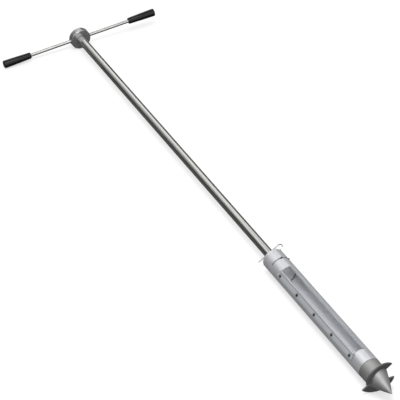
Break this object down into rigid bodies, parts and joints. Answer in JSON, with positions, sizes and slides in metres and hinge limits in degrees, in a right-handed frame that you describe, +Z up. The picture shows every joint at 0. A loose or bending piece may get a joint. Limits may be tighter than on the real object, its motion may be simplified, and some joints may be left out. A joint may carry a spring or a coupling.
{
  "type": "silage sampling auger",
  "caption": "Long T-handled sampling drill with a polished shaft, a windowed sample tube with a turning inner sleeve and scraper blade, and a winged cone point.",
  "frame": {"origin": "centre of the footprint on the ground, with the tool lying as it comes to rest", "axes": "+X along the tool towards the point, +Z up, +Y to the raised end of the cross bar; the sample window faces up"},
  "size_m": [1.822, 0.505, 0.0806],
  "materials": {
    "bright_steel": "polished stainless",
    "hub_steel": "turned",
    "satin_aluminium": "satin anodised",
    "blade_steel": "ground",
    "tip_steel": "blasted",
    "flight_steel": "blasted, dark",
    "black_steel": "black oxide",
    "black_plastic": "moulded, glossy",
    "bearing_plastic": "machined"
  },
  "bodies": {
    "handle": {"shaft_tube": "bright_steel", "handle_hub": "hub_steel", "hub_set_screw": "black_steel", "cross_bar": "bright_steel", "left_grip": "black_plastic", "right_grip": "black_plastic", "locking_clip": "bright_steel", "spindle": "bright_steel", "sleeve_head": "satin_aluminium", "closing_sleeve": "satin_aluminium", "guide_screws": "black_steel", "thrust_washer": "bearing_plastic"},
    "chamber": {"chamber_tube": "satin_aluminium", "top_cap": "satin_aluminium", "shaft_bush": "bearing_plastic", "scraper_blade": "blade_steel", "blade_screws": "black_steel", "auger_tip": "tip_steel", "flight_1": "flight_steel", "flight_2": "flight_steel"}
  },
  "joints": [
    {"name": "chamber_turn", "type": "hinge", "parent": "handle", "child": "chamber", "pos_m": [0.36102, 0, 0.03788], "axis": [-1, 0, -0.005], "range_deg": [0, 57]}
  ]
}
